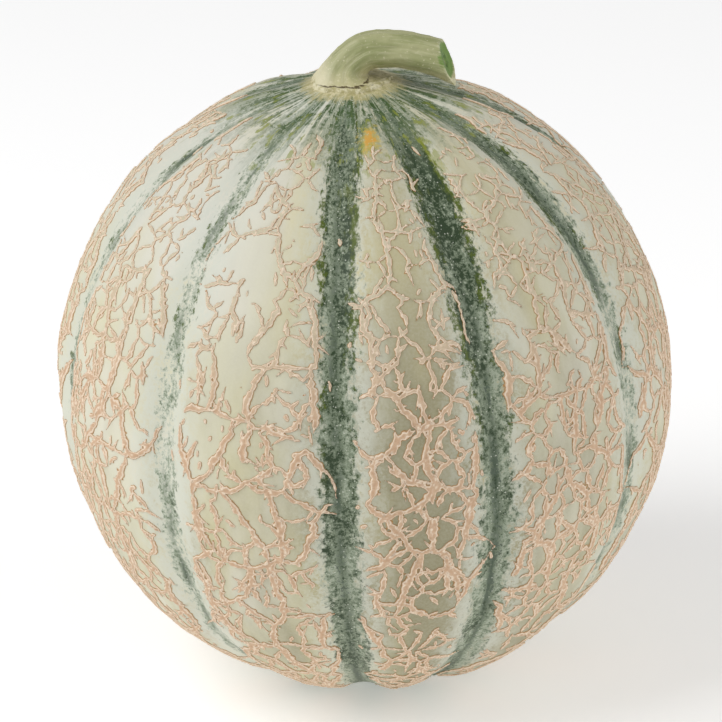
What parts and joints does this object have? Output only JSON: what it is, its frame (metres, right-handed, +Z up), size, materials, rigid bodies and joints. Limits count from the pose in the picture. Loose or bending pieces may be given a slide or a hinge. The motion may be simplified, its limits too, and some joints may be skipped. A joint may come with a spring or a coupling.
{
  "type": "netted melon with a cut stem",
  "caption": "Round ribbed melon with green grooves, a raised corky net and a short bent stem, standing on its blossom end.",
  "frame": {"origin": "middle of the small flat spot at the blossom end, which the melon rests on", "axes": "+Z up through the stem, -Y to the side that the picture shows, and the stem bends to +X"},
  "size_m": [0.1311, 0.1309, 0.1419],
  "materials": {
    "rind": "dull waxy rind, cream green with dark green grooves and a dry pinkish net",
    "stem_skin": "dull pale green fibrous stem"
  },
  "bodies": {
    "root": {"fruit": "rind", "stem": "stem_skin"}
  },
  "joints": []
}
